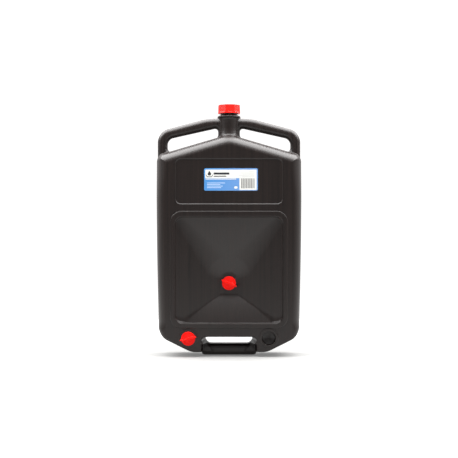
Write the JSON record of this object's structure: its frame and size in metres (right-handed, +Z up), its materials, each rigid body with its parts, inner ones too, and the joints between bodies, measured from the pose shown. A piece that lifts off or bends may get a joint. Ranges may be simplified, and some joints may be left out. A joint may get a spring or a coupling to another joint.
{
  "type": "oil drain pan",
  "caption": "Flat blow-moulded oil drain container: a funnel-shaped catch pan with a screw drain plug, a vent plug, a capped pouring neck, hand holes and a lower grip.",
  "frame": {"origin": "Centre of the flat rest face under the lower grip, on which the container stands upright, midway across its width and depth", "axes": "+X to the right seen from the catch pan's side, +Y to the back, +Z up towards the spout cap; the catch pan faces -Y"},
  "size_m": [0.37, 0.1302, 0.6485],
  "materials": {
    "hdpe_black": "satin blow-moulded",
    "cap_red": "satin moulded",
    "plug_red": "satin moulded",
    "liner_foam": "matt foam",
    "seal_rubber": "matt",
    "label_print": "gloss printed film"
  },
  "bodies": {
    "container": {"front_shell": "hdpe_black", "rear_shell": "hdpe_black", "catch_pan": "hdpe_black", "pour_neck": "hdpe_black", "left_handle": "hdpe_black", "right_handle": "hdpe_black", "lower_grip": "hdpe_black", "drain_socket": "hdpe_black", "vent_socket": "hdpe_black", "parking_cup": "hdpe_black", "label": "label_print"},
    "cap_liner": {"cap_liner": "liner_foam"},
    "spout_cap": {"spout_cap": "cap_red"},
    "drain_gasket": {"drain_gasket": "seal_rubber"},
    "drain_plug": {"drain_plug": "plug_red"},
    "vent_gasket": {"vent_gasket": "seal_rubber"},
    "vent_plug": {"vent_plug": "plug_red"}
  },
  "joints": [
    {"name": "cap_liner_lift", "type": "slide", "parent": "container", "child": "cap_liner", "axis": [0, 0, 1], "range_m": [0, 0.01]},
    {"name": "spout_cap_turn", "type": "hinge", "parent": "cap_liner", "child": "spout_cap", "pos_m": [0, 0, 0.634], "axis": [0, 0, 1], "range_deg": [0, 900]},
    {"name": "drain_gasket_lift", "type": "slide", "parent": "container", "child": "drain_gasket", "axis": [0, -1, 0], "range_m": [0, 0.009]},
    {"name": "drain_plug_turn", "type": "hinge", "parent": "drain_gasket", "child": "drain_plug", "pos_m": [0, -0.02, 0.187], "axis": [0, -1, 0], "range_deg": [0, 1080]},
    {"name": "vent_gasket_lift", "type": "slide", "parent": "container", "child": "vent_gasket", "axis": [0, -1, 0], "range_m": [0, 0.009]},
    {"name": "vent_plug_turn", "type": "hinge", "parent": "vent_gasket", "child": "vent_plug", "pos_m": [-0.104, -0.056, 0.0474], "axis": [0, -1, 0], "range_deg": [0, 1080]}
  ],
  "couplings": [
    {"joint": "cap_liner_lift", "follows": "spout_cap_turn", "m_per_rad": 0.00063662},
    {"joint": "drain_gasket_lift", "follows": "drain_plug_turn", "m_per_rad": 0.00047746},
    {"joint": "vent_gasket_lift", "follows": "vent_plug_turn", "m_per_rad": 0.00047746}
  ]
}
